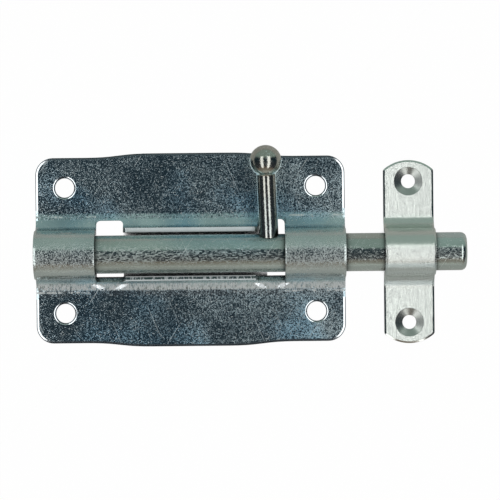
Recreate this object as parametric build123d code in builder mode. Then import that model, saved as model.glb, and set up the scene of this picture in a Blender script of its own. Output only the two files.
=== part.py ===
from build123d import *
import os
from math import asin, atan2, cos, degrees, hypot, radians, sin, tan

# Sizes of the base plate, in millimetres
plate_length = 80.0
plate_end_width = 48.0
plate_swell = 1.0
plate_corner = 4.5
waist_start = 10.0
waist_end = 27.0
sheet = 1.2
edge_roll = 0.6
edge_roll_angle = 9.0
plate_hole_inset_x = 7.5
plate_hole_inset_y = 7.75
plate_hole = 5.0
plate_hole_roll = 0.5
plate_hole_roll_angle = 16.0

# Sizes of the bar and the way it runs in the plate
bar_diameter = 9.8
bar_reach = 31.0
bar_tail_inset = 1.0
bar_tip_round = 1.5
bar_tail_bevel = 0.6
bar_lift = 0.6
channel_y = -1.1
loop_clearance = 0.25
loop_length = 15.6
loop_flank_radius = 2.8
mouth_roll = 0.4

# Sizes of the slot between the loops
lip_clearance = 0.75
lip_height = 3.9
lip_bend_radius = 2.4
lip_corner = 0.9
relief_length = 7.0
relief_depth = 3.1
relief_corner = 1.1
relief_fold_angle = 62.0

# Sizes of the ball headed pin
pin_diameter = 5.0
pin_stop_gap = 1.5
ball_diameter = 8.2
ball_reach = 24.0
neck_round = 0.8
pin_lean = 2.0
pin_seat_gap = 0.08
pin_lip_clearance = 0.2

# Sizes of the keeper strap
keeper_width = 13.0
keeper_gap = 10.0
keeper_span = 47.4
keeper_sheet = 1.1
keeper_clearance = 0.15
keeper_flank_radius = 3.7
keeper_end_radius = 9.7
keeper_corner = 1.0
keeper_hole_inset = 5.45
keeper_hole = 3.6
keeper_sink = 7.4
keeper_sink_angle = 132.0
keeper_edge_roll = 0.5
keeper_edge_roll_angle = 25.0

# Sizes that follow from the ones above
plate_width = plate_end_width + 2 * plate_swell
plate_hole_pitch_x = plate_length - 2 * plate_hole_inset_x
plate_hole_pitch_y = plate_end_width - 2 * plate_hole_inset_y
bar_radius = bar_diameter / 2
bar_tip_x = plate_length / 2 + bar_reach
bar_length = bar_reach + plate_length - bar_tail_inset
axis_height = bar_lift + bar_radius
loop_bore = bar_radius + loop_clearance
loop_foot = loop_bore + sheet + loop_flank_radius
loop_start = plate_length / 2 - loop_length
mouth_drop = mouth_roll * tan(radians(edge_roll_angle))
lip_end = loop_start - relief_length
slot_half = bar_radius + lip_clearance
lip_foot = slot_half + sheet + lip_bend_radius
relief_reach = slot_half + relief_depth
pin_radius = pin_diameter / 2
pin_x = loop_start - pin_stop_gap - pin_radius
ball_radius = ball_diameter / 2
keeper_x = plate_length / 2 + keeper_gap + keeper_width / 2
keeper_hole_pitch = keeper_span - 2 * keeper_hole_inset
keeper_bore = bar_radius + keeper_clearance

# The pin stands just high enough to pass over the lips of the slot
lip_drop = lip_height - axis_height
lip_line = degrees(atan2(lip_drop, slot_half))
pin_line = degrees(asin((pin_radius + pin_lip_clearance) / hypot(slot_half, lip_drop)))
pin_angle = lip_line + pin_line

tolerance = 0.001


def channel_plane(x):
    """Cross-section plane at x, with its origin under the axis of the bar."""
    return Plane(origin=(x, channel_y, 0), x_dir=(0, 1, 0), z_dir=(1, 0, 0))


def saddle_section(x, bore, thickness, flank_radius, reach):
    """Sheet that lies flat, turns up, passes over the bar and comes down again."""
    flank = min(flank_radius, axis_height - thickness)
    crown = bore + thickness
    foot = crown + flank
    bend = thickness + flank
    with BuildSketch(channel_plane(x)) as section:
        with BuildLine():
            CenterArc((0, axis_height), crown, 0, 90)
            Line((crown, axis_height), (crown, bend))
            CenterArc((foot, bend), flank, 180, 90)
            Line((foot, thickness), (reach, thickness))
            Line((reach, thickness), (reach, 0))
            Line((reach, 0), (foot, 0))
            CenterArc((foot, bend), flank + thickness, 180, 90)
            Line((bore, bend), (bore, axis_height))
            CenterArc((0, axis_height), bore, 0, 90)
            mirror(about=Plane.YZ)
        make_face()
    return section.sketch


def lip_section(x, reach):
    """Sheet on both sides of the slot, its inner edges turned up as lips."""
    bend = sheet + lip_bend_radius
    with BuildSketch(channel_plane(x)) as section:
        with BuildLine():
            Line((slot_half, lip_height), (slot_half + sheet, lip_height))
            Line((slot_half + sheet, lip_height), (slot_half + sheet, bend))
            CenterArc((lip_foot, bend), lip_bend_radius, 180, 90)
            Line((lip_foot, sheet), (reach, sheet))
            Line((reach, sheet), (reach, 0))
            Line((reach, 0), (lip_foot, 0))
            CenterArc((lip_foot, bend), lip_bend_radius + sheet, 180, 90)
            Line((slot_half, bend), (slot_half, lip_height))
        make_face()
        mirror(about=Plane.YZ)
    return section.sketch


def relief_section(x):
    """What is cut from the lower fold beside a loop, square to the sheet."""
    bend = sheet + lip_bend_radius
    cut = lip_bend_radius + 2 * sheet
    edge_u = -lip_foot + cut * sin(radians(relief_fold_angle))
    edge_v = bend - cut * cos(radians(relief_fold_angle))
    with BuildSketch(channel_plane(x)) as section:
        with BuildLine():
            Polyline(
                (-lip_foot, bend),
                (edge_u, edge_v),
                (0, edge_v),
                (0, axis_height),
                (-lip_foot, axis_height),
                close=True,
            )
        make_face()
    return section.sketch


# Base plate
with BuildPart() as base_plate:
    for start in (-plate_length / 2, loop_start):
        extrude(saddle_section(start, loop_bore, sheet, loop_flank_radius, plate_width), amount=loop_length)
    for mouth_x in (-loop_start, loop_start):
        crest = (mouth_x, channel_y, axis_height + loop_bore)
        mouth = base_plate.faces().filter_by(Axis.X).sort_by_distance(crest)[0]
        chamfer(mouth.edges().sort_by(Axis.Z)[-1], mouth_drop, mouth_roll, reference=mouth)
    for start in (-plate_length / 2, loop_start):
        with BuildSketch(channel_plane(start)) as wings:
            with Locations((loop_foot, 0)):
                Rectangle(plate_width, sheet, align=(Align.MIN, Align.MIN))
            mirror(about=Plane.YZ)
        extrude(amount=loop_length)
    extrude(lip_section(-loop_start, plate_width), amount=2 * loop_start)
    with BuildSketch() as outline:
        with BuildLine():
            half_x = plate_length / 2
            half_y = plate_width / 2
            end_y = plate_end_width / 2
            middle_x = (waist_start + waist_end) / 2
            Line((0, half_y), (waist_start, half_y))
            Bezier((waist_start, half_y), (middle_x, half_y), (middle_x, end_y), (waist_end, end_y))
            Line((waist_end, end_y), (half_x - plate_corner, end_y))
            CenterArc((half_x - plate_corner, end_y - plate_corner), plate_corner, 0, 90)
            Line((half_x, end_y - plate_corner), (half_x, 0))
            mirror(about=Plane.YZ)
            mirror(about=Plane.XZ)
        make_face()
    extrude(amount=plate_width, mode=Mode.INTERSECT)
    for start in (-loop_start, lip_end):
        extrude(relief_section(start), amount=relief_length, mode=Mode.SUBTRACT)
        with BuildSketch() as relief:
            with Locations((start + relief_length / 2, channel_y)):
                RectangleRounded(relief_length, 2 * relief_reach, relief_corner)
            with Locations((start + relief_length / 2, channel_y - relief_reach)):
                Rectangle(relief_length, 2 * relief_reach, mode=Mode.SUBTRACT)
        extrude(amount=lip_height + sheet, mode=Mode.SUBTRACT)
    with BuildSketch() as holes:
        with GridLocations(plate_hole_pitch_x, plate_hole_pitch_y, 2, 2):
            Circle(plate_hole / 2)
    extrude(amount=sheet, mode=Mode.SUBTRACT)
    # A rolled edge runs on along every edge that leads smoothly into it, so one edge of the rim is enough
    for wing_y in (-plate_hole_pitch_y / 2, plate_hole_pitch_y / 2):
        top = base_plate.faces().filter_by(Axis.Z).sort_by_distance((0, wing_y, sheet))[0]
        hole_rims = top.edges().filter_by(lambda edge: edge.is_closed)
        chamfer(hole_rims, plate_hole_roll, angle=plate_hole_roll_angle, reference=top)
    top = base_plate.faces().filter_by(Axis.Z).sort_by_distance((0, wing_y, sheet))[0]
    rim = top.edges().sort_by(Axis.Y)[-1]
    chamfer(rim, edge_roll, angle=edge_roll_angle, reference=top)
    lip_tops = base_plate.edges().filter_by_position(Axis.Z, lip_height - tolerance, lip_height + tolerance)
    fillet(lip_tops.filter_by(Axis.Y), lip_corner)

# Bar
with BuildPart() as bolt_rod:
    with BuildSketch(channel_plane(bar_tip_x - bar_length)) as bar_end:
        with Locations((0, axis_height)):
            Circle(bar_radius)
    extrude(amount=bar_length)
    bar_rims = bolt_rod.edges().filter_by(GeomType.CIRCLE).sort_by(Axis.X)
    chamfer(bar_rims[0], bar_tail_bevel)
    fillet(bar_rims[-1], bar_tip_round)

# Ball headed pin
with BuildPart() as knob_pin:
    seat = Vector(pin_x, channel_y, axis_height)
    lean = Vector(-sin(radians(pin_lean)), 0, 0)
    lift = Vector(0, cos(radians(pin_angle)), sin(radians(pin_angle))) * cos(radians(pin_lean))
    stem = lean + lift
    side = Vector(0, -sin(radians(pin_angle)), cos(radians(pin_angle)))
    with BuildSketch(Plane(origin=seat, x_dir=side.cross(stem) * -1, z_dir=side)) as profile:
        with BuildLine():
            neck = ball_reach - (ball_radius**2 - pin_radius**2) ** 0.5
            Polyline((0, 0), (pin_radius, 0), (pin_radius, neck))
            ThreePointArc((pin_radius, neck), (ball_radius, ball_reach), (0, ball_reach + ball_radius))
            Line((0, ball_reach + ball_radius), (0, 0))
        make_face()
        fillet(profile.vertices().sort_by_distance((pin_radius, neck))[0], neck_round)
    revolve(axis=Axis(seat, stem))
    with BuildSketch(channel_plane(pin_x - bar_radius)) as seat_bore:
        with Locations((0, axis_height)):
            Circle(bar_radius + pin_seat_gap)
    extrude(amount=bar_diameter, mode=Mode.SUBTRACT)

# Keeper
with BuildPart() as keeper:
    strap_start = keeper_x - keeper_width / 2
    extrude(
        saddle_section(strap_start, keeper_bore, keeper_sheet, keeper_flank_radius, keeper_span),
        amount=keeper_width,
    )
    with BuildSketch(Plane(origin=(keeper_x, channel_y, 0))) as strap:
        with Locations((0, keeper_span / 2 - keeper_end_radius), (0, keeper_end_radius - keeper_span / 2)):
            Circle(keeper_end_radius)
        Rectangle(2 * keeper_end_radius, keeper_span - 2 * keeper_end_radius)
        Rectangle(keeper_width, keeper_span, mode=Mode.INTERSECT)
        fillet(strap.vertices(), keeper_corner)
    extrude(amount=plate_width, mode=Mode.INTERSECT)
    with Locations(Plane(origin=(keeper_x, channel_y, keeper_sheet))):
        with GridLocations(1, keeper_hole_pitch, 1, 2):
            CounterSinkHole(keeper_hole / 2, keeper_sink / 2, keeper_sheet, keeper_sink_angle)
    top = keeper.faces().filter_by(Axis.Z).sort_by(Axis.Z)[-1]
    rim = top.edges().sort_by(Axis.X)[-1]
    chamfer(rim, keeper_edge_roll, angle=keeper_edge_roll_angle, reference=top)

base_plate.part.label = "base_plate"
bolt_rod.part.label = "bolt_rod"
knob_pin.part.label = "knob_pin"
keeper.part.label = "keeper"

os.makedirs("parts", exist_ok=True)
export_step(base_plate.part, "parts/base_plate.step")
export_step(bolt_rod.part, "parts/bolt_rod.step")
export_step(knob_pin.part, "parts/knob_pin.step")
export_step(keeper.part, "parts/keeper.step")
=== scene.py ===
"""Zinc plated door bolt: finishes, floor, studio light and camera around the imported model."""

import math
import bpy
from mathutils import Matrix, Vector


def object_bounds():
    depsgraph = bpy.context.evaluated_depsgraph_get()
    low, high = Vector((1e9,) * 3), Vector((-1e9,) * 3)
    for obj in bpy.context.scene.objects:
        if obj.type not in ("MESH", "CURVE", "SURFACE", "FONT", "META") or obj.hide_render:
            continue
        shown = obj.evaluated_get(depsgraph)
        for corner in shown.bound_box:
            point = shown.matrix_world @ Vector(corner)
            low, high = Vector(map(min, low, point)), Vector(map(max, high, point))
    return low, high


bl_info = {
    "name": "Plate Bolt Finishes",
    "version": (1, 0, 0),
    "blender": (4, 5, 0),
    "location": "View3D > Sidebar > Plate Bolt",
    "description": "Finishes and stages a zinc plated plate bolt with its keeper",
    "category": "Object",
}

import bpy
from bpy.props import FloatProperty, FloatVectorProperty, PointerProperty
from mathutils import Euler, Vector

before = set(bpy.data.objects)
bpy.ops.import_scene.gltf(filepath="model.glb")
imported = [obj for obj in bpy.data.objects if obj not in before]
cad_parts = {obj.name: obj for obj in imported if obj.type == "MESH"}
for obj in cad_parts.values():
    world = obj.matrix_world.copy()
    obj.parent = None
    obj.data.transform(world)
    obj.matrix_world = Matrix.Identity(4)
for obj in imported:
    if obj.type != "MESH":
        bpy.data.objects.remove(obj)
cad_low, cad_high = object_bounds()

MILLIMETRE = 0.001

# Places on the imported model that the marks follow
CHANNEL_Y = -1.1 * MILLIMETRE
SLOT_HALF = 5.65 * MILLIMETRE
SHEET = 1.2 * MILLIMETRE
LIP_TOP = 3.9 * MILLIMETRE
LIP_REACH = 17.4 * MILLIMETRE
LOOP_REACH = 24.4 * MILLIMETRE
FOLD_END = 11.5 * MILLIMETRE
STRAP_TOP = 1.1 * MILLIMETRE
STRAP_X = 56.5 * MILLIMETRE
SINK_Y = 18.25 * MILLIMETRE
SINK_RADIUS = 3.75 * MILLIMETRE

# Tints of the plating where it is worked or shows wear, tints that paint highlights and shade on it, and the
# floor's painted shade in narrow gaps
PASSIVATED_TINT = (0.70, 0.88, 1.0)
SCUFFED_TINT = (0.82, 0.87, 0.86)
FORMED_TINT = (0.67, 0.72, 0.69)
# Whitening of the lower bends, real wear in part and painted highlight in part, and of the lip tops, a
# painted highlight
WEAR_AND_HIGHLIGHT_TINT = (0.95, 1.0, 1.0)
TORN_TINT = (0.07, 0.11, 0.11)
# Painted highlight on the rolled rims and the dents
RIM_HIGHLIGHT_TINT = (0.92, 0.96, 0.97)
# Painted shade along the outer edge of the rims
OUTLINE_SHADE_TINT = (0.06, 0.08, 0.09)
# Painted highlight on the keeper's lower flank
FLANK_HIGHLIGHT_TINT = (0.92, 0.98, 1.0)
# Painted shade of the floor deep inside narrow gaps
GAP_PAINTED_SHADE = (0.02, 0.03, 0.03)

# Strength of the marks
FORMED_LEAN = 0.45
FORMED_SHARE = 0.8
CREST_MATT_SHARE = 0.7
# Metallic left on the whitened bends: wear in part, painted highlight in part
WEAR_AND_HIGHLIGHT_METALLIC = 0.1
SWEEP_LEAN = 0.22
WORN_LEAN = 0.45
DENT_LEAN = 0.2
DENT_SLANT = 1.4
LINE_SHADE = 0.86
# Painted shade in the keeper's countersinks
SINK_PAINTED_SHADE = 0.66
FLANK_LEAN = 0.3
# Metallic left on the keeper's whitened flank, a painted highlight
FLANK_HIGHLIGHT_METALLIC = 0.35
EDGE_ROUGHNESS = 0.12

# Sizes of the stage
FLOOR_HALF = 3.0
FLOOR_DROP = 0.1 * MILLIMETRE
FLOOR_GLOSS_SHARE = 0.1
GAP_REACH = 14.0 * MILLIMETRE
PIN_COVER = 1.2 * MILLIMETRE
WINDOW_RISE = 2.0 * MILLIMETRE
WINDOW_HALF = 7.8 * MILLIMETRE
PANEL_PLACES = (("strip_left", -0.33), ("strip_right", 0.31))
PANEL_Y = -0.2
PANEL_HEIGHT = 0.66
PANEL_AIM = (0.02, PANEL_Y, 0.0)
PANEL_WIDTH = 0.26
PANEL_LENGTH = 1.3
SENSOR_WIDTH = 36.0


def colour_property(name, description, default):
    """Colour setting with channels from 0 to 1."""
    return FloatVectorProperty(
        name=name,
        description=description,
        subtype="COLOR",
        size=3,
        min=0.0,
        max=1.0,
        default=default,
    )


class PlateBoltFinishes(bpy.types.PropertyGroup):
    """Colours and grain of the plated pieces."""

    sheet_colour: colour_property(
        "Sheet colour",
        "Colour of the lighter patches of zinc on the plate",
        (0.67, 0.80, 0.83),
    )
    sheet_shade: colour_property(
        "Sheet shade",
        "Colour of the darker patches of zinc on the plate",
        (0.42, 0.54, 0.59),
    )
    bar_colour: colour_property(
        "Bar colour",
        "Colour of the lighter patches of zinc on the bar",
        (0.66, 0.75, 0.72),
    )
    bar_shade: colour_property(
        "Bar shade",
        "Colour of the darker patches of zinc on the bar",
        (0.52, 0.57, 0.53),
    )
    pin_colour: colour_property(
        "Pin colour",
        "Colour of the brighter patches of the pin",
        (0.62, 0.62, 0.56),
    )
    pin_shade: colour_property(
        "Pin shade",
        "Colour of the duller patches of the pin",
        (0.46, 0.46, 0.41),
    )
    strap_colour: colour_property(
        "Strap colour",
        "Colour that the satin keeper reflects",
        (0.81, 0.85, 0.80),
    )
    grain_size: FloatProperty(
        name="Grain size",
        description="Width of one spangle of the plating on the sheet",
        subtype="DISTANCE",
        unit="LENGTH",
        min=0.00005,
        max=0.005,
        precision=5,
        default=0.0002,
    )


class PlateBoltStage(bpy.types.PropertyGroup):
    """Camera, floor and light."""

    camera_x: FloatProperty(
        name="Camera along the bar",
        description="Where the camera stands along the bar",
        unit="LENGTH",
        default=0.01538,
    )
    camera_y: FloatProperty(
        name="Camera across the bar",
        description="Where the camera stands across the bar",
        unit="LENGTH",
        default=-0.00028,
    )
    camera_height: FloatProperty(
        name="Camera height",
        description="Height of the camera over the floor",
        unit="LENGTH",
        default=0.6742,
    )
    camera_roll: FloatProperty(
        name="Camera roll",
        description="Turn of the camera about its own line of sight",
        subtype="ANGLE",
        unit="ROTATION",
        default=math.radians(-0.57),
    )
    lens: FloatProperty(
        name="Focal length",
        description="Focal length of the camera in millimetres",
        min=20.0,
        max=600.0,
        default=187.2,
    )
    panel_strength: FloatProperty(
        name="Panel strength",
        description="Brightness of the two strip panels beside the camera",
        min=0.0,
        max=10.0,
        default=1.6,
    )
    floor_colour: colour_property(
        "Floor colour",
        "Colour of the floor",
        (0.64, 0.62, 0.58),
    )


def add_node(tree, kind, label, **settings):
    """New node of that kind, with its settings and input values."""
    node = tree.nodes.new(kind)
    node.label = label
    for key, value in settings.items():
        if key == "inputs":
            for socket, number in value.items():
                node.inputs[socket].default_value = number
        else:
            setattr(node, key, value)
    return node


def lay_tint(tree, label, under, tint, factor, blend_type="MIX"):
    """The colour under a tint that shows as strongly as the factor says."""
    node = add_node(tree, "ShaderNodeMix", label, data_type="RGBA", blend_type=blend_type)
    node.inputs["B"].default_value = (*tint, 1.0)
    tree.links.new(under, node.inputs["A"])
    tree.links.new(factor, node.inputs["Factor"])
    return node.outputs["Result"]


def new_group(name, inputs, outputs):
    """Empty shader node group with named sockets, and its input and output nodes."""
    group = bpy.data.node_groups.new(name, "ShaderNodeTree")
    for label, kind, default in inputs:
        socket = group.interface.new_socket(label, in_out="INPUT", socket_type=kind)
        if default is not None:
            socket.default_value = default
    for label, kind in outputs:
        group.interface.new_socket(label, in_out="OUTPUT", socket_type=kind)
    source = group.nodes.new("NodeGroupInput")
    result = group.nodes.new("NodeGroupOutput")
    return group, source, result


def plating_grain_group():
    """Zinc spangle: every grain leans its own way, some are matt, and broad patches differ in tone."""
    name = "Plating grain"
    if name in bpy.data.node_groups:
        return bpy.data.node_groups[name]
    group, source, result = new_group(
        name,
        [
            ("Vector", "NodeSocketVector", None),
            ("Normal", "NodeSocketVector", None),
            ("Grain", "NodeSocketFloat", 2500.0),
            ("Lean", "NodeSocketFloat", 0.1),
            ("Wave", "NodeSocketFloat", 0.03),
            ("Matt share", "NodeSocketFloat", 0.4),
        ],
        [
            ("Normal", "NodeSocketVector"),
            ("Flecks", "NodeSocketFloat"),
            ("Patches", "NodeSocketFloat"),
            ("Passivated", "NodeSocketFloat"),
        ],
    )
    link = group.links.new
    grains = add_node(group, "ShaderNodeTexVoronoi", "grains")
    link(source.outputs["Vector"], grains.inputs["Vector"])
    link(source.outputs["Grain"], grains.inputs["Scale"])
    waves = add_node(group, "ShaderNodeTexNoise", "waves", inputs={"Scale": 170.0, "Detail": 3.0})
    link(source.outputs["Vector"], waves.inputs["Vector"])
    normal = source.outputs["Normal"]
    for texture, amount in ((grains, "Lean"), (waves, "Wave")):
        centred = add_node(group, "ShaderNodeVectorMath", "about zero", operation="SUBTRACT")
        centred.inputs[1].default_value = (0.5, 0.5, 0.5)
        link(texture.outputs["Color"], centred.inputs[0])
        lean = add_node(group, "ShaderNodeVectorMath", amount.lower(), operation="SCALE")
        link(centred.outputs["Vector"], lean.inputs[0])
        link(source.outputs[amount], lean.inputs["Scale"])
        total = add_node(group, "ShaderNodeVectorMath", "lean the normal", operation="ADD")
        link(normal, total.inputs[0])
        link(lean.outputs["Vector"], total.inputs[1])
        normal = total.outputs["Vector"]
    unit = add_node(group, "ShaderNodeVectorMath", "unit length", operation="NORMALIZE")
    link(normal, unit.inputs[0])
    split = add_node(group, "ShaderNodeSeparateColor", "grain draw")
    link(grains.outputs["Color"], split.inputs["Color"])
    clouds = add_node(group, "ShaderNodeTexNoise", "clouds", inputs={"Scale": 42.0, "Detail": 2.0})
    link(source.outputs["Vector"], clouds.inputs["Vector"])
    drift = add_node(
        group,
        "ShaderNodeMapRange",
        "drift of the share",
        inputs={"From Min": 0.3, "From Max": 0.7, "To Min": -0.14, "To Max": 0.14},
    )
    link(clouds.outputs["Fac"], drift.inputs["Value"])
    split_clouds = add_node(group, "ShaderNodeSeparateColor", "cloud draw")
    link(clouds.outputs["Color"], split_clouds.inputs["Color"])
    passivated = add_node(
        group, "ShaderNodeMapRange", "passivated clouds", inputs={"From Min": 0.5, "From Max": 0.62}
    )
    link(split_clouds.outputs["Green"], passivated.inputs["Value"])
    link(passivated.outputs["Result"], result.inputs["Passivated"])
    duller = add_node(
        group, "ShaderNodeMath", "duller clouds", operation="MULTIPLY_ADD", inputs={1: 0.16}
    )
    link(passivated.outputs["Result"], duller.inputs[0])
    link(drift.outputs["Result"], duller.inputs[2])
    share = add_node(group, "ShaderNodeMath", "share here", operation="ADD")
    link(source.outputs["Matt share"], share.inputs[0])
    link(duller.outputs["Value"], share.inputs[1])
    shift = add_node(group, "ShaderNodeMath", "with the share", operation="ADD")
    link(split.outputs["Blue"], shift.inputs[0])
    link(share.outputs["Value"], shift.inputs[1])
    flecks = add_node(group, "ShaderNodeMapRange", "matt grains", inputs={"From Min": 0.9, "From Max": 1.7})
    link(shift.outputs["Value"], flecks.inputs["Value"])
    patches = add_node(group, "ShaderNodeTexNoise", "patches", inputs={"Scale": 85.0, "Detail": 5.0})
    link(source.outputs["Vector"], patches.inputs["Vector"])
    contrast = add_node(
        group, "ShaderNodeMapRange", "patch edge", inputs={"From Min": 0.36, "From Max": 0.64}
    )
    link(patches.outputs["Fac"], contrast.inputs["Value"])
    link(unit.outputs["Vector"], result.inputs["Normal"])
    link(flecks.outputs["Result"], result.inputs["Flecks"])
    link(contrast.outputs["Result"], result.inputs["Patches"])
    return group


def handling_marks_group():
    """Short scuffs in many directions and a few long scratches, as a mask."""
    name = "Handling marks"
    if name in bpy.data.node_groups:
        return bpy.data.node_groups[name]
    group, source, result = new_group(
        name,
        [("Vector", "NodeSocketVector", None), ("Amount", "NodeSocketFloat", 0.1)],
        [("Marks", "NodeSocketFloat")],
    )
    link = group.links.new
    across = 7000.0
    strokes = [
        (9.0, 1300.0, 1.0),
        (48.0, 1500.0, 1.0),
        (84.0, 1200.0, 1.0),
        (121.0, 1400.0, 1.0),
        (158.0, 1100.0, 1.0),
        (57.0, 90.0, 0.4),
        (113.0, 75.0, 0.4),
    ]
    marks = None
    for angle, along, share in strokes:
        turn = add_node(group, "ShaderNodeMapping", "stroke direction", vector_type="TEXTURE")
        turn.inputs["Rotation"].default_value = (0.0, 0.0, math.radians(angle))
        turn.inputs["Scale"].default_value = (1.0 / along, 1.0 / across, 1.0)
        link(source.outputs["Vector"], turn.inputs["Vector"])
        cells = add_node(group, "ShaderNodeTexVoronoi", "strokes", voronoi_dimensions="2D")
        cells.inputs["Scale"].default_value = 1.0
        link(turn.outputs["Vector"], cells.inputs["Vector"])
        draw = add_node(group, "ShaderNodeSeparateColor", "stroke draw")
        link(cells.outputs["Color"], draw.inputs["Color"])
        limit = add_node(group, "ShaderNodeMath", "share", operation="MULTIPLY", inputs={1: share})
        link(source.outputs["Amount"], limit.inputs[0])
        chosen = add_node(group, "ShaderNodeMath", "chosen", operation="LESS_THAN")
        link(draw.outputs["Red"], chosen.inputs[0])
        link(limit.outputs["Value"], chosen.inputs[1])
        body = add_node(
            group,
            "ShaderNodeMapRange",
            "stroke edge",
            inputs={"From Min": 0.28, "From Max": 0.42, "To Min": 1.0, "To Max": 0.0},
        )
        link(cells.outputs["Distance"], body.inputs["Value"])
        force = add_node(group, "ShaderNodeMapRange", "force", inputs={"To Min": 0.25, "To Max": 1.0})
        link(draw.outputs["Green"], force.inputs["Value"])
        pressed = add_node(group, "ShaderNodeMath", "pressed", operation="MULTIPLY")
        link(chosen.outputs["Value"], pressed.inputs[0])
        link(force.outputs["Result"], pressed.inputs[1])
        stroke = add_node(group, "ShaderNodeMath", "stroke", operation="MULTIPLY")
        link(pressed.outputs["Value"], stroke.inputs[0])
        link(body.outputs["Result"], stroke.inputs[1])
        if marks is None:
            marks = stroke
        else:
            joined = add_node(group, "ShaderNodeMath", "all strokes", operation="MAXIMUM")
            link(marks.outputs["Value"], joined.inputs[0])
            link(stroke.outputs["Value"], joined.inputs[1])
            marks = joined
    link(marks.outputs["Value"], result.inputs["Marks"])
    return group


def drawing_lines_group():
    """Fine lines that rolling or drawing leaves, as a value across them; they run along Y."""
    name = "Drawing lines"
    if name in bpy.data.node_groups:
        return bpy.data.node_groups[name]
    group, source, result = new_group(
        name,
        [("Vector", "NodeSocketVector", None), ("Spacing", "NodeSocketFloat", 3000.0)],
        [("Lines", "NodeSocketFloat")],
    )
    link = group.links.new
    stretch = add_node(group, "ShaderNodeMapping", "stretch")
    stretch.inputs["Scale"].default_value = (1.0, 0.02, 0.02)
    link(source.outputs["Vector"], stretch.inputs["Vector"])
    lines = add_node(group, "ShaderNodeTexNoise", "lines", inputs={"Detail": 3.0, "Roughness": 0.7})
    link(stretch.outputs["Vector"], lines.inputs["Vector"])
    link(source.outputs["Spacing"], lines.inputs["Scale"])
    link(lines.outputs["Fac"], result.inputs["Lines"])
    return group


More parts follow.
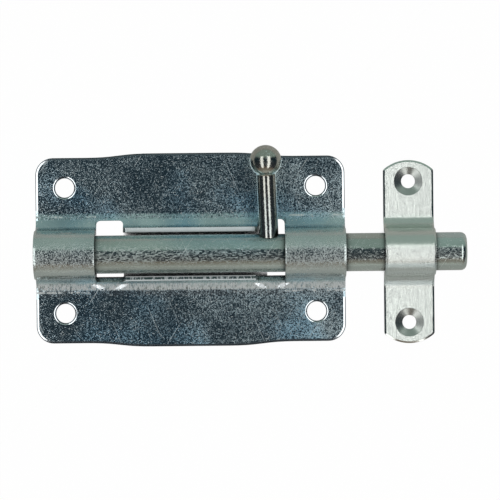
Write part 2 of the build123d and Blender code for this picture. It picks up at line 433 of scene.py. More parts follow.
def stamping_marks_group():
    """What stamping leaves: swept folds, wear on the bends, dents, cut lips with torn cores, rolled rims and
    dull crests; it also gives the masks for a painted highlight on the bends, lip tops, rims and dents and
    for painted shade along the outer edges.
    """
    name = "Stamping marks"
    if name in bpy.data.node_groups:
        return bpy.data.node_groups[name]
    group, source, result = new_group(
        name,
        [("Vector", "NodeSocketVector", None), ("Normal", "NodeSocketVector", None)],
        [
            ("Normal", "NodeSocketVector"),
            ("Wear and highlight", "NodeSocketFloat"),
            ("Lip", "NodeSocketFloat"),
            ("Torn", "NodeSocketFloat"),
            ("Crest", "NodeSocketFloat"),
            ("Rim", "NodeSocketFloat"),
            ("Edge", "NodeSocketFloat"),
            ("Formed", "NodeSocketFloat"),
        ],
    )
    link = group.links.new

    def sum_up(label, operation, first, second):
        """Value of a sum of two sockets or numbers."""
        node = add_node(group, "ShaderNodeMath", label, operation=operation)
        for socket, value in zip(node.inputs, (first, second)):
            if isinstance(value, float):
                socket.default_value = value
            else:
                link(value, socket)
        return node.outputs["Value"]

    def between(label, value, start, full, keep, end):
        """Mask that rises from start to full and falls from keep to end, in millimetres."""
        rise = add_node(group, "ShaderNodeMapRange", label, interpolation_type="SMOOTHSTEP")
        fall = add_node(group, "ShaderNodeMapRange", label, interpolation_type="SMOOTHSTEP")
        for node, low, high in ((rise, start, full), (fall, end, keep)):
            node.inputs["From Min"].default_value = low * MILLIMETRE
            node.inputs["From Max"].default_value = high * MILLIMETRE
            link(value, node.inputs["Value"])
        return sum_up(label, "MULTIPLY", rise.outputs["Result"], fall.outputs["Result"])

    split = add_node(group, "ShaderNodeSeparateXYZ", "place")
    link(source.outputs["Vector"], split.inputs["Vector"])
    offset = sum_up("from the bar", "SUBTRACT", split.outputs["Y"], CHANNEL_Y)
    across = sum_up("distance across", "ABSOLUTE", offset, 0.0)
    side = sum_up("side", "SIGN", offset, 0.0)
    below = sum_up("lower side", "LESS_THAN", offset, 0.0)

    pulled = add_node(group, "ShaderNodeMapping", "pulled over the fold")
    pulled.inputs["Scale"].default_value = (1.0, 0.35, 0.35)
    link(source.outputs["Vector"], pulled.inputs["Vector"])
    streaks = add_node(group, "ShaderNodeTexNoise", "streaks", inputs={"Scale": 2200.0, "Detail": 3.0})
    link(pulled.outputs["Vector"], streaks.inputs["Vector"])
    rubbed_and_highlit = add_node(group, "ShaderNodeMapRange", "rubbed_and_highlit", inputs={"From Min": 0.36, "From Max": 0.56})
    link(streaks.outputs["Fac"], rubbed_and_highlit.inputs["Value"])
    bend = sum_up("lower bend", "MULTIPLY", between("bend", across, 7.2, 7.8, 8.8, 9.6), below)
    blots = add_node(group, "ShaderNodeTexNoise", "blots", inputs={"Scale": 210.0, "Detail": 2.0})
    link(source.outputs["Vector"], blots.inputs["Vector"])
    patchy = add_node(group, "ShaderNodeMapRange", "patchy", inputs={"From Min": 0.46, "From Max": 0.52})
    link(blots.outputs["Fac"], patchy.inputs["Value"])
    line = between("line", across, 9.4, 9.7, 9.8, 10.2)
    patched_line = sum_up("press line", "MULTIPLY", line, patchy.outputs["Result"])
    along = sum_up("distance along", "ABSOLUTE", split.outputs["X"], 0.0)
    loops = sum_up("at the loops", "GREATER_THAN", along, LOOP_REACH)
    press = sum_up("press line at the loops", "MULTIPLY", patched_line, loops)
    # Lower bends and press lines with wear streaks, whitened later: wear in part, painted highlight in part.
    wear_and_highlight = sum_up("wear_and_highlight", "MULTIPLY", sum_up("either", "MAXIMUM", bend, press), rubbed_and_highlit.outputs["Result"])
    link(wear_and_highlight, result.inputs["Wear and highlight"])

    sweep = between("swept fold", across, 7.4, 8.8, 10.1, 11.4)
    dented = sum_up("dented", "MULTIPLY", wear_and_highlight, WORN_LEAN)
    tilt = sum_up("tilt", "ADD", sum_up("sweep", "MULTIPLY", sweep, SWEEP_LEAN), dented)
    lean = sum_up("lean outwards", "MULTIPLY", tilt, side)
    outwards = add_node(group, "ShaderNodeCombineXYZ", "outwards")
    link(lean, outwards.inputs["Y"])
    total = add_node(group, "ShaderNodeVectorMath", "lean the normal", operation="ADD")
    link(source.outputs["Normal"], total.inputs[0])
    link(outwards.outputs["Vector"], total.inputs[1])

    slant = sum_up("slant of a dent", "MULTIPLY", across, DENT_SLANT)
    from_lip = sum_up("from a lip", "SUBTRACT", along, slant)
    from_loop = sum_up("from a loop", "ADD", along, slant)
    by_lip = between("dent by a lip", from_lip, 4.4, 6.0, 6.4, 8.6)
    by_loop = between("dent by a loop", from_loop, 33.2, 35.4, 35.8, 37.6)
    fold = sum_up("dented fold", "MULTIPLY", between("fold", across, 7.2, 8.0, 8.4, 9.8), below)
    dents = sum_up("dents", "MULTIPLY", sum_up("either dent", "MAXIMUM", by_lip, by_loop), fold)
    uneven = sum_up("uneven dents", "ADD", dents, sum_up("streak", "MULTIPLY", streaks.outputs["Fac"], 0.9))
    edge = add_node(group, "ShaderNodeMapRange", "dent edge", inputs={"From Min": 0.7, "From Max": 1.45})
    link(uneven, edge.inputs["Value"])
    dent = edge.outputs["Result"]
    pressed = add_node(group, "ShaderNodeCombineXYZ", "pressed flat", inputs={"Z": 1.0})
    end = sum_up("end", "SIGN", split.outputs["X"], 0.0)
    link(sum_up("lean", "MULTIPLY", end, DENT_LEAN), pressed.inputs["X"])
    flatten = add_node(group, "ShaderNodeMix", "flat in the dents", data_type="VECTOR")
    link(dent, flatten.inputs["Factor"])
    link(total.outputs["Vector"], flatten.inputs["A"])
    link(pressed.outputs["Vector"], flatten.inputs["B"])
    unit = add_node(group, "ShaderNodeVectorMath", "unit length", operation="NORMALIZE")
    link(flatten.outputs["Result"], unit.inputs[0])
    link(unit.outputs["Vector"], result.inputs["Normal"])

    facing = add_node(group, "ShaderNodeSeparateXYZ", "facing")
    link(source.outputs["Normal"], facing.inputs["Vector"])
    upwards = sum_up("upwards", "GREATER_THAN", facing.outputs["Z"], 0.9)
    outside = sum_up("beside the folds", "GREATER_THAN", across, FOLD_END)
    flat_rim = sum_up("rim of the flat", "MULTIPLY", upwards, outside)
    top = SHEET / MILLIMETRE
    rolled = between("rolled", split.outputs["Z"], top - 0.065, top - 0.055, top - 0.006, top - 0.002)
    rolled_rim = sum_up("rolled rim", "MULTIPLY", rolled, flat_rim)
    # Rolled rims and dents get a whiter tint later, a painted highlight.
    link(sum_up("rim and dent highlight", "MAXIMUM", rolled_rim, dent), result.inputs["Rim"])
    # Band just below the rolled rim, darkened later as painted shade.
    outline_band = between("outline_band", split.outputs["Z"], top - 0.2, top - 0.19, top - 0.065, top - 0.055)
    link(sum_up("dark outline", "MULTIPLY", outline_band, flat_rim), result.inputs["Edge"])
    link(between("formed", split.outputs["Z"], 2.0, 3.5, 13.0, 14.0), result.inputs["Formed"])
    link(between("crest of a loop", split.outputs["Z"], 6.0, 10.0, 13.0, 14.0), result.inputs["Crest"])
    level = add_node(group, "ShaderNodeMath", "at the cut", operation="COMPARE")
    level.inputs[1].default_value = LIP_TOP
    level.inputs[2].default_value = 0.05 * MILLIMETRE
    link(split.outputs["Z"], level.inputs[0])
    middle = add_node(group, "ShaderNodeMath", "between the loops", operation="COMPARE")
    middle.inputs[1].default_value = 0.0
    middle.inputs[2].default_value = LIP_REACH
    link(split.outputs["X"], middle.inputs[0])
    # The lip tops are whitened later as a painted highlight.
    lip = sum_up("cut edge", "MULTIPLY", level.outputs["Value"], middle.outputs["Value"])
    link(lip, result.inputs["Lip"])
    start = SLOT_HALF / MILLIMETRE
    core = between("core of the cut", across, start + 0.2, start + 0.3, start + 0.85, start + 0.95)
    teeth = add_node(group, "ShaderNodeMapRange", "teeth", inputs={"From Min": 0.42, "From Max": 0.5})
    teeth.inputs["To Min"].default_value = 0.35
    link(streaks.outputs["Fac"], teeth.inputs["Value"])
    torn = sum_up("torn core", "MULTIPLY", sum_up("core", "MULTIPLY", core, below), teeth.outputs["Result"])
    link(sum_up("torn lip", "MULTIPLY", torn, lip), result.inputs["Torn"])
    return group


def place_group(tree, group, label, **values):
    """The group as a node of the tree, with its own values."""
    node = tree.nodes.new("ShaderNodeGroup")
    node.node_tree = group
    node.label = label
    for socket, value in values.items():
        node.inputs[socket].default_value = value
    return node


def new_metal(name, edge_radius):
    """Metal material with its tree, its shader, its object coordinates and its edge-softened normal."""
    material = bpy.data.materials.new(name)
    material.use_nodes = True
    tree = material.node_tree
    shader = tree.nodes["Principled BSDF"]
    shader.inputs["Metallic"].default_value = 1.0
    place = add_node(tree, "ShaderNodeTexCoord", "object place")
    edge = add_node(tree, "ShaderNodeBevel", "soft edge", samples=6, inputs={"Radius": edge_radius})
    return material, tree, shader, place.outputs["Object"], edge.outputs["Normal"]


def spangled_zinc(
    name,
    dark,
    light,
    roughness,
    dulling,
    grain,
    stretch,
    lean,
    wave,
    matt_share,
    marks,
    shade_reach,
    stamped=False,
):
    """Plated steel: leaning grains, matt flecks, cloudy patches, scuffs and painted shade in crevices."""
    material, tree, shader, place, normal = new_metal(name, 0.14 * MILLIMETRE)
    link = tree.links.new
    plating = place_group(tree, plating_grain_group(), "plating", Grain=1.0 / grain, Lean=lean, Wave=wave)
    split = add_node(tree, "ShaderNodeSeparateXYZ", "place")
    link(place, split.inputs["Vector"])
    share = add_node(
        tree,
        "ShaderNodeMapRange",
        "matt share from tail to tip",
        inputs={
            "From Min": cad_low.x,
            "From Max": cad_high.x,
            "To Min": matt_share[0],
            "To Max": matt_share[1],
        },
    )
    link(split.outputs["X"], share.inputs["Value"])
    link(share.outputs["Result"], plating.inputs["Matt share"])
    drawn = add_node(tree, "ShaderNodeMapping", "drawn out along the bar")
    drawn.inputs["Scale"].default_value = (1.0 / stretch, 1.0, 1.0)
    link(place, drawn.inputs["Vector"])
    link(drawn.outputs["Vector"], plating.inputs["Vector"])
    link(plating.outputs["Normal"], shader.inputs["Normal"])
    tint = add_node(tree, "ShaderNodeMix", "patch tint", data_type="RGBA")
    tint.inputs["A"].default_value = (*dark, 1.0)
    tint.inputs["B"].default_value = (*light, 1.0)
    link(plating.outputs["Patches"], tint.inputs["Factor"])
    colour = lay_tint(
        tree,
        "passivated tint",
        tint.outputs["Result"],
        PASSIVATED_TINT,
        plating.outputs["Passivated"],
        blend_type="MULTIPLY",
    )
    scuffs = place_group(tree, handling_marks_group(), "scuffs", Amount=marks)
    link(place, scuffs.inputs["Vector"])
    colour = lay_tint(tree, "scuffed tint", colour, SCUFFED_TINT, scuffs.outputs["Marks"])
    matt = add_node(tree, "ShaderNodeMath", "flecks and scuffs", operation="MAXIMUM")
    link(plating.outputs["Flecks"], matt.inputs[0])
    link(scuffs.outputs["Marks"], matt.inputs[1])
    if stamped:
        stamping = place_group(tree, stamping_marks_group(), "stamping")
        link(place, stamping.inputs["Vector"])
        link(normal, stamping.inputs["Normal"])
        normal = stamping.outputs["Normal"]
        crest = add_node(tree, "ShaderNodeMix", "duller crest", data_type="FLOAT")
        crest.inputs["B"].default_value = CREST_MATT_SHARE
        link(stamping.outputs["Crest"], crest.inputs["Factor"])
        link(share.outputs["Result"], crest.inputs["A"])
        link(crest.outputs["Result"], plating.inputs["Matt share"])
        calm = add_node(tree, "ShaderNodeMapRange", "calmer grain where formed")
        calm.inputs["To Min"].default_value = lean
        calm.inputs["To Max"].default_value = FORMED_LEAN * lean
        link(stamping.outputs["Formed"], calm.inputs["Value"])
        link(calm.outputs["Result"], plating.inputs["Lean"])
        # Bends and lip tops turn whiter and less metallic: wear in part and painted highlight in part on the
        # bends, painted highlight on the lip tops.
        rubbed_and_highlit = add_node(tree, "ShaderNodeMath", "wear or cut with painted highlight", operation="MAXIMUM")
        link(stamping.outputs["Wear and highlight"], rubbed_and_highlit.inputs[0])
        link(stamping.outputs["Lip"], rubbed_and_highlit.inputs[1])
        whitening = add_node(tree, "ShaderNodeMapRange", "whiter and less metallic", inputs={"To Min": 1.0})
        whitening.inputs["To Max"].default_value = WEAR_AND_HIGHLIGHT_METALLIC
        link(stamping.outputs["Wear and highlight"], whitening.inputs["Value"])
        link(whitening.outputs["Result"], shader.inputs["Metallic"])
        formed = add_node(tree, "ShaderNodeMath", "share of formed", operation="MULTIPLY")
        formed.inputs[1].default_value = FORMED_SHARE
        link(stamping.outputs["Formed"], formed.inputs[0])
        colour = lay_tint(tree, "formed tint", colour, FORMED_TINT, formed.outputs["Value"])
        colour = lay_tint(tree, "wear and highlight tint", colour, WEAR_AND_HIGHLIGHT_TINT, rubbed_and_highlit.outputs["Value"])
        colour = lay_tint(tree, "torn tint", colour, TORN_TINT, stamping.outputs["Torn"])
        # Painted highlight on the rolled rims and the dents.
        colour = lay_tint(tree, "rim highlight tint", colour, RIM_HIGHLIGHT_TINT, stamping.outputs["Rim"])
        # Painted shade along the outer edge of the rims.
        colour = lay_tint(tree, "dark outline", colour, OUTLINE_SHADE_TINT, stamping.outputs["Edge"])
        joined = add_node(tree, "ShaderNodeMath", "with the stamping", operation="MAXIMUM")
        link(matt.outputs["Value"], joined.inputs[0])
        link(rubbed_and_highlit.outputs["Value"], joined.inputs[1])
        matt = add_node(tree, "ShaderNodeMath", "but for the rim", operation="SUBTRACT", use_clamp=True)
        link(joined.outputs["Value"], matt.inputs[0])
        link(stamping.outputs["Rim"], matt.inputs[1])
        smooth = add_node(tree, "ShaderNodeMix", "smooth rim", data_type="VECTOR")
        link(stamping.outputs["Rim"], smooth.inputs["Factor"])
        link(plating.outputs["Normal"], smooth.inputs["A"])
        link(normal, smooth.inputs["B"])
        link(smooth.outputs["Result"], shader.inputs["Normal"])
    link(normal, plating.inputs["Normal"])
    paint_crevice_shade(tree, shader, colour, shade_reach)
    dull = add_node(
        tree, "ShaderNodeMapRange", "dullness", inputs={"To Min": roughness, "To Max": roughness + dulling}
    )
    link(matt.outputs["Value"], dull.inputs["Value"])
    link(dull.outputs["Result"], shader.inputs["Roughness"])
    return material


def paint_crevice_shade(tree, shader, colour, reach):
    """Paints shade into the shader's colour: it darkens where another surface stands within reach."""
    link = tree.links.new
    open_sky = add_node(tree, "ShaderNodeAmbientOcclusion", "open sky", samples=12)
    open_sky.inputs["Distance"].default_value = reach
    # Painted shade: the colour darkens where little open sky is left, in crevices and between parts.
    crevice_shade = add_node(
        tree,
        "ShaderNodeMapRange",
        "painted shade in crevices",
        inputs={"From Min": 0.5, "From Max": 0.9, "To Min": 0.1, "To Max": 1.0},
    )
    link(open_sky.outputs["AO"], crevice_shade.inputs["Value"])
    shaded_colour = add_node(tree, "ShaderNodeVectorMath", "colour with painted shade", operation="SCALE")
    link(colour, shaded_colour.inputs[0])
    link(crevice_shade.outputs["Result"], shaded_colour.inputs["Scale"])
    link(shaded_colour.outputs["Vector"], shader.inputs["Base Color"])


def satin_zinc(name, colour, roughness, spacing, lean, top):
    """Drawn strap: fine lines along Y, a lower flank whitened as a painted highlight, countersinks darkened
    with painted shade, painted shade in crevices and plain edges.
    """
    material, tree, shader, place, normal = new_metal(name, 0.12 * MILLIMETRE)
    link = tree.links.new
    lines = place_group(tree, drawing_lines_group(), "drawn lines", Spacing=1.0 / spacing)
    link(place, lines.inputs["Vector"])
    split = add_node(tree, "ShaderNodeSeparateXYZ", "place")
    link(place, split.inputs["Vector"])
    upper = add_node(tree, "ShaderNodeMath", "drawn side", operation="GREATER_THAN")
    upper.inputs[1].default_value = top - 0.03 * MILLIMETRE
    link(split.outputs["Z"], upper.inputs[0])
    side = add_node(
        tree,
        "ShaderNodeMapRange",
        "lean of a line",
        inputs={"From Min": 0.46, "From Max": 0.54, "To Min": -1.2 * lean, "To Max": 0.9 * lean},
    )
    link(lines.outputs["Lines"], side.inputs["Value"])
    drawn = add_node(tree, "ShaderNodeMath", "lean on the drawn side", operation="MULTIPLY")
    link(side.outputs["Result"], drawn.inputs[0])
    link(upper.outputs["Value"], drawn.inputs[1])
    across = add_node(tree, "ShaderNodeCombineXYZ", "across the lines")
    link(drawn.outputs["Value"], across.inputs["X"])
    total = add_node(tree, "ShaderNodeVectorMath", "lean the normal", operation="ADD")
    link(normal, total.inputs[0])
    link(across.outputs["Vector"], total.inputs[1])
    unit = add_node(tree, "ShaderNodeVectorMath", "unit length", operation="NORMALIZE")
    link(total.outputs["Vector"], unit.inputs[0])
    link(unit.outputs["Vector"], shader.inputs["Normal"])
    tint = add_node(tree, "ShaderNodeMix", "line tint", data_type="RGBA")
    tint.inputs["A"].default_value = (*[channel * LINE_SHADE for channel in colour], 1.0)
    tint.inputs["B"].default_value = (*colour, 1.0)
    link(lines.outputs["Lines"], tint.inputs["Factor"])
    offset = add_node(tree, "ShaderNodeMath", "from the bar", operation="SUBTRACT", inputs={1: CHANNEL_Y})
    link(split.outputs["Y"], offset.inputs[0])
    either = add_node(tree, "ShaderNodeMath", "either foot", operation="ABSOLUTE")
    link(offset.outputs["Value"], either.inputs[0])
    flat = add_node(tree, "ShaderNodeCombineXYZ", "place on a foot")
    link(split.outputs["X"], flat.inputs["X"])
    link(either.outputs["Value"], flat.inputs["Y"])
    away = add_node(tree, "ShaderNodeVectorMath", "distance to the hole", operation="DISTANCE")
    away.inputs[1].default_value = (STRAP_X, SINK_Y, 0.0)
    link(flat.outputs["Vector"], away.inputs[0])
    sink = add_node(tree, "ShaderNodeMath", "countersink", operation="LESS_THAN", inputs={1: SINK_RADIUS})
    link(away.outputs["Value"], sink.inputs[0])
    fold = add_node(tree, "ShaderNodeMapRange", "below the bridge", interpolation_type="SMOOTHSTEP")
    foot = add_node(tree, "ShaderNodeMapRange", "above the foot", interpolation_type="SMOOTHSTEP")
    for node, low, high in ((fold, -2.4, -3.6), (foot, -9.0, -8.2)):
        node.inputs["From Min"].default_value = low * MILLIMETRE
        node.inputs["From Max"].default_value = high * MILLIMETRE
        link(offset.outputs["Value"], node.inputs["Value"])
    flank = add_node(tree, "ShaderNodeMath", "lower flank", operation="MULTIPLY")
    link(fold.outputs["Result"], flank.inputs[0])
    link(foot.outputs["Result"], flank.inputs[1])
    flatter = add_node(tree, "ShaderNodeMath", "flatter flank", operation="MULTIPLY", inputs={1: FLANK_LEAN})
    link(flank.outputs["Value"], flatter.inputs[0])
    link(flatter.outputs["Value"], across.inputs["Y"])
    # Painted highlight: the lower flank turns whiter and less metallic.
    whitening = add_node(tree, "ShaderNodeMapRange", "whiter and less metallic", inputs={"To Min": 1.0})
    whitening.inputs["To Max"].default_value = FLANK_HIGHLIGHT_METALLIC
    link(flank.outputs["Value"], whitening.inputs["Value"])
    link(whitening.outputs["Result"], shader.inputs["Metallic"])
    finish = lay_tint(
        tree,
        "flank highlight",
        tint.outputs["Result"],
        FLANK_HIGHLIGHT_TINT,
        flank.outputs["Value"],
        blend_type="MULTIPLY",
    )
    # Painted shade in the countersinks.
    sink_painted_shade = [channel * SINK_PAINTED_SHADE for channel in colour]
    finish = lay_tint(tree, "countersink painted shade", finish, sink_painted_shade, sink.outputs["Value"])
    paint_crevice_shade(tree, shader, finish, 2.0 * MILLIMETRE)
    worked = add_node(tree, "ShaderNodeMath", "drawn or pressed", operation="MAXIMUM")
    link(upper.outputs["Value"], worked.inputs[0])
    link(sink.outputs["Value"], worked.inputs[1])
    dull = add_node(
        tree, "ShaderNodeMapRange", "dullness", inputs={"To Min": EDGE_ROUGHNESS, "To Max": roughness}
    )
    link(worked.outputs["Value"], dull.inputs["Value"])
    link(dull.outputs["Result"], shader.inputs["Roughness"])
    return material


def dress(node_name, material):
    """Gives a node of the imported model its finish."""
    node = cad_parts[node_name]
    node.data.materials.clear()
    node.data.materials.append(material)


class PLATEBOLT_OT_base_plate(bpy.types.Operator):
    """Finish the stamped plate"""

    bl_idname = "platebolt.base_plate"
    bl_label = "Finish base plate"

    def execute(self, context):
        looks = context.scene.plate_bolt_finishes
        material = spangled_zinc(
            "zinc_sheet",
            looks.sheet_shade,
            looks.sheet_colour,
            roughness=0.12,
            dulling=0.44,
            grain=looks.grain_size,
            stretch=1.0,
            lean=0.15,
            wave=0.05,
            matt_share=(0.17, 0.62),
            marks=0.02,
            shade_reach=2.0 * MILLIMETRE,
            stamped=True,
        )
        dress("base_plate", material)
        return {"FINISHED"}


class PLATEBOLT_OT_bolt_rod(bpy.types.Operator):
    """Finish the round bar"""

    bl_idname = "platebolt.bolt_rod"
    bl_label = "Finish bar"

    def execute(self, context):
        looks = context.scene.plate_bolt_finishes
        material = spangled_zinc(
            "zinc_bar",
            looks.bar_shade,
            looks.bar_colour,
            roughness=0.15,
            dulling=0.46,
            grain=0.95 * looks.grain_size,
            stretch=3.2,
            lean=0.07,
            wave=0.05,
            matt_share=(0.74, 0.08),
            marks=0.02,
            shade_reach=3.0 * MILLIMETRE,
        )
        dress("bolt_rod", material)
        return {"FINISHED"}


class PLATEBOLT_OT_knob_pin(bpy.types.Operator):
    """Finish the ball headed pin"""

    bl_idname = "platebolt.knob_pin"
    bl_label = "Finish pin"

    def execute(self, context):
        looks = context.scene.plate_bolt_finishes
        material = spangled_zinc(
            "bright_pin",
            looks.pin_shade,
            looks.pin_colour,
            roughness=0.12,
            dulling=0.2,
            grain=looks.grain_size,
            stretch=1.0,
            lean=0.05,
            wave=0.05,
            matt_share=(0.3, 0.3),
            marks=0.04,
            shade_reach=3.0 * MILLIMETRE,
        )
        dress("knob_pin", material)
        return {"FINISHED"}


class PLATEBOLT_OT_keeper(bpy.types.Operator):
    """Finish the keeper strap"""

    bl_idname = "platebolt.keeper"
    bl_label = "Finish keeper"

    def execute(self, context):
        looks = context.scene.plate_bolt_finishes
        material = satin_zinc(
            "satin_strap",
            looks.strap_colour,
            roughness=0.27,
            spacing=0.06 * MILLIMETRE,
            lean=0.21,
            top=STRAP_TOP,
        )
        dress("keeper", material)
        return {"FINISHED"}


def soft_panel(name, place, aim, width, length, strength):
    """White area lamp whose surface shows with the given brightness."""
    lamp = bpy.data.lights.new(name, "AREA")
    lamp.shape = "RECTANGLE"
    lamp.size = length
    lamp.size_y = width
    lamp.energy = strength * width * length * math.pi
    panel = bpy.data.objects.new(name, lamp)
    panel.location = place
    panel.rotation_euler = (Vector(aim) - Vector(place)).to_track_quat("-Z", "Y").to_euler()
    bpy.context.scene.collection.objects.link(panel)


def studio_world():
    """Dim studio round the object, teal grey towards +Y and brown towards -Y, white to the camera."""
    world = bpy.data.worlds.new("studio")
    world.use_nodes = True
    tree = world.node_tree
    tree.nodes.clear()
    link = tree.links.new
    place = add_node(tree, "ShaderNodeTexCoord", "direction")
    split = add_node(tree, "ShaderNodeSeparateXYZ", "split")
    link(place.outputs["Generated"], split.inputs["Vector"])
    ramp = add_node(tree, "ShaderNodeValToRGB", "from -Y to +Y")
    shift = add_node(
        tree, "ShaderNodeMapRange", "half range", inputs={"From Min": -1.0, "From Max": 1.0}
    )
    link(split.outputs["Y"], shift.inputs["Value"])
    link(shift.outputs["Result"], ramp.inputs["Fac"])
    stops = [
        (0.0, (0.50, 0.51, 0.48)),
        (0.03, (0.33, 0.31, 0.275)),
        (0.07, (0.26, 0.23, 0.195)),
        (0.11, (0.24, 0.20, 0.165)),
        (0.17, (0.045, 0.045, 0.05)),
        (0.60, (0.011, 0.027, 0.038)),
        (0.68, (0.04, 0.055, 0.065)),
        (0.72, (0.27, 0.345, 0.32)),
        (1.0, (0.30, 0.375, 0.35)),
    ]
    while len(ramp.color_ramp.elements) < len(stops):
        ramp.color_ramp.elements.new(0.5)
    for element, (position, colour) in zip(ramp.color_ramp.elements, stops):
        element.position = position
        element.color = (*colour, 1.0)
    studio = add_node(tree, "ShaderNodeBackground", "studio", inputs={"Strength": 1.0})
    link(ramp.outputs["Color"], studio.inputs["Color"])
    white = add_node(tree, "ShaderNodeBackground", "white", inputs={"Color": (1, 1, 1, 1)})
    path = add_node(tree, "ShaderNodeLightPath", "ray")
    pick = add_node(tree, "ShaderNodeMixShader", "seen as white")
    link(path.outputs["Is Camera Ray"], pick.inputs["Fac"])
    link(studio.outputs["Background"], pick.inputs[1])
    link(white.outputs["Background"], pick.inputs[2])
    output = add_node(tree, "ShaderNodeOutputWorld", "world")
    link(pick.outputs["Shader"], output.inputs["Surface"])
    bpy.context.scene.world = world


def pale_floor(colour):
    """Large floor, white where it lies open or shows through a relief, with painted shade deep inside narrow
    gaps.
    """
    half = FLOOR_HALF
    mesh = bpy.data.meshes.new("floor")
    level = cad_low.z - FLOOR_DROP
    corners = [(-half, -half, level), (half, -half, level), (half, half, level), (-half, half, level)]
    mesh.from_pydata(corners, [], [(0, 1, 2, 3)])
    floor = bpy.data.objects.new("floor", mesh)
    bpy.context.scene.collection.objects.link(floor)
    material = bpy.data.materials.new("pale_floor")
    material.use_nodes = True
    tree = material.node_tree
    link = tree.links.new
    shader = tree.nodes["Principled BSDF"]
    shader.inputs["Roughness"].default_value = 1.0
    shader.inputs["Specular IOR Level"].default_value = 0.0
    glow = add_node(tree, "ShaderNodeEmission", "white", inputs={"Color": (1, 1, 1, 1), "Strength": 1.0})
    path = add_node(tree, "ShaderNodeLightPath", "ray")
    seen = add_node(tree, "ShaderNodeMath", "camera or gloss", operation="MAXIMUM")
    gloss = add_node(tree, "ShaderNodeMath", "share in reflections", operation="MULTIPLY")
    gloss.inputs[1].default_value = FLOOR_GLOSS_SHARE
    link(path.outputs["Is Glossy Ray"], gloss.inputs[0])
    link(path.outputs["Is Camera Ray"], seen.inputs[0])
    link(gloss.outputs["Value"], seen.inputs[1])
    enclosed = add_node(tree, "ShaderNodeAmbientOcclusion", "open sky", samples=24)
    enclosed.inputs["Distance"].default_value = GAP_REACH
    openness = add_node(
        tree,
        "ShaderNodeMapRange",
        "open enough",
        inputs={"From Min": 0.16, "From Max": 0.27, "To Min": 0.0, "To Max": 0.99},
    )
    link(enclosed.outputs["AO"], openness.inputs["Value"])
    place = add_node(tree, "ShaderNodeTexCoord", "floor place")
    split = add_node(tree, "ShaderNodeSeparateXYZ", "split")
    link(place.outputs["Object"], split.inputs["Vector"])
    # The windows start past the pin, so the painted gap shade shows beside it.
    past_pin = add_node(tree, "ShaderNodeMath", "past the pin", operation="SUBTRACT", inputs={1: PIN_COVER})
    link(split.outputs["X"], past_pin.inputs[0])
    side = add_node(tree, "ShaderNodeMath", "either end", operation="ABSOLUTE")
    link(past_pin.outputs["Value"], side.inputs[0])
    along = add_node(tree, "ShaderNodeMath", "below the reliefs", operation="COMPARE")
    along.inputs[1].default_value = 0.5 * (LIP_REACH + LOOP_REACH) + PIN_COVER
    along.inputs[2].default_value = 0.5 * (LOOP_REACH - LIP_REACH)
    link(side.outputs["Value"], along.inputs[0])
    across = add_node(tree, "ShaderNodeMath", "inside the plate", operation="COMPARE")
    across.inputs[1].default_value = CHANNEL_Y + WINDOW_RISE
    across.inputs[2].default_value = WINDOW_HALF
    link(split.outputs["Y"], across.inputs[0])
    window = add_node(tree, "ShaderNodeMath", "relief windows", operation="MULTIPLY")
    link(along.outputs["Value"], window.inputs[0])
    link(across.outputs["Value"], window.inputs[1])
    lit = add_node(tree, "ShaderNodeMath", "open or below a relief", operation="MAXIMUM")
    link(openness.outputs["Result"], lit.inputs[0])
    link(window.outputs["Value"], lit.inputs[1])
    # Painted shade: the floor's colour turns dark where it is enclosed, deep inside narrow gaps.
    shade = add_node(tree, "ShaderNodeMix", "painted shade when enclosed", data_type="RGBA")
    shade.inputs["A"].default_value = (*GAP_PAINTED_SHADE, 1.0)
    shade.inputs["B"].default_value = (*colour, 1.0)
    link(lit.outputs["Value"], shade.inputs["Factor"])
    link(shade.outputs["Result"], shader.inputs["Base Color"])
    share = add_node(tree, "ShaderNodeMath", "share of white", operation="MULTIPLY")
    link(seen.outputs["Value"], share.inputs[0])
    link(lit.outputs["Value"], share.inputs[1])
    pick = add_node(tree, "ShaderNodeMixShader", "seen as white")
    link(share.outputs["Value"], pick.inputs["Fac"])
    link(shader.outputs["BSDF"], pick.inputs[1])
    link(glow.outputs["Emission"], pick.inputs[2])
    output = tree.nodes["Material Output"]
    link(pick.outputs["Shader"], output.inputs["Surface"])
    mesh.materials.append(material)


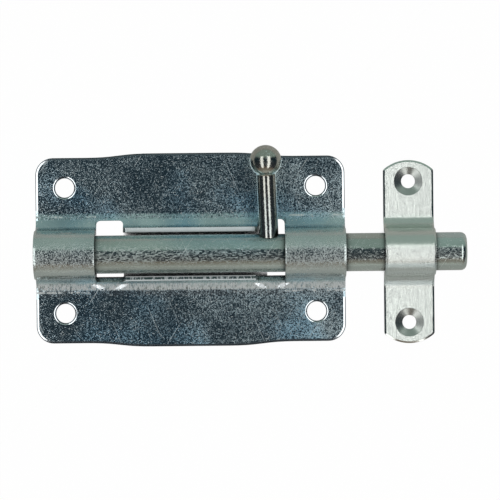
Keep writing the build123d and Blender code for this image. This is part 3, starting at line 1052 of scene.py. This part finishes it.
class PLATEBOLT_OT_stage(bpy.types.Operator):
    """Set up the floor, the light and the camera"""

    bl_idname = "platebolt.stage"
    bl_label = "Set up stage"

    def execute(self, context):
        scene = context.scene
        stage = scene.plate_bolt_stage
        scene.view_settings.view_transform = "Standard"
        studio_world()
        pale_floor(stage.floor_colour)
        for name, place_x in PANEL_PLACES:
            place = (place_x, PANEL_Y, PANEL_HEIGHT)
            soft_panel(name, place, PANEL_AIM, PANEL_WIDTH, PANEL_LENGTH, stage.panel_strength)
        camera_data = bpy.data.cameras.new("camera")
        camera_data.lens = stage.lens
        camera_data.sensor_width = SENSOR_WIDTH
        camera = bpy.data.objects.new("camera", camera_data)
        camera.location = (stage.camera_x, stage.camera_y, stage.camera_height)
        camera.rotation_euler = Euler((0.0, 0.0, stage.camera_roll))
        scene.collection.objects.link(camera)
        scene.camera = camera
        return {"FINISHED"}


class PLATEBOLT_PT_panel(bpy.types.Panel):
    """Plate bolt pieces"""

    bl_idname = "PLATEBOLT_PT_panel"
    bl_label = "Plate Bolt"
    bl_space_type = "VIEW_3D"
    bl_region_type = "UI"
    bl_category = "Plate Bolt"

    def draw(self, context):
        for operator in OPERATORS:
            self.layout.operator(operator.bl_idname)


OPERATORS = (
    PLATEBOLT_OT_base_plate,
    PLATEBOLT_OT_bolt_rod,
    PLATEBOLT_OT_knob_pin,
    PLATEBOLT_OT_keeper,
    PLATEBOLT_OT_stage,
)
CLASSES = (PlateBoltFinishes, PlateBoltStage, *OPERATORS, PLATEBOLT_PT_panel)


def register():
    for item in CLASSES:
        bpy.utils.register_class(item)
    bpy.types.Scene.plate_bolt_finishes = PointerProperty(type=PlateBoltFinishes)
    bpy.types.Scene.plate_bolt_stage = PointerProperty(type=PlateBoltStage)


def unregister():
    del bpy.types.Scene.plate_bolt_stage
    del bpy.types.Scene.plate_bolt_finishes
    for item in reversed(CLASSES):
        bpy.utils.unregister_class(item)


def main():
    register()
    bpy.ops.platebolt.base_plate()
    bpy.ops.platebolt.bolt_rod()
    bpy.ops.platebolt.knob_pin()
    bpy.ops.platebolt.keeper()
    bpy.ops.platebolt.stage()


if __name__ == "__main__":
    main()
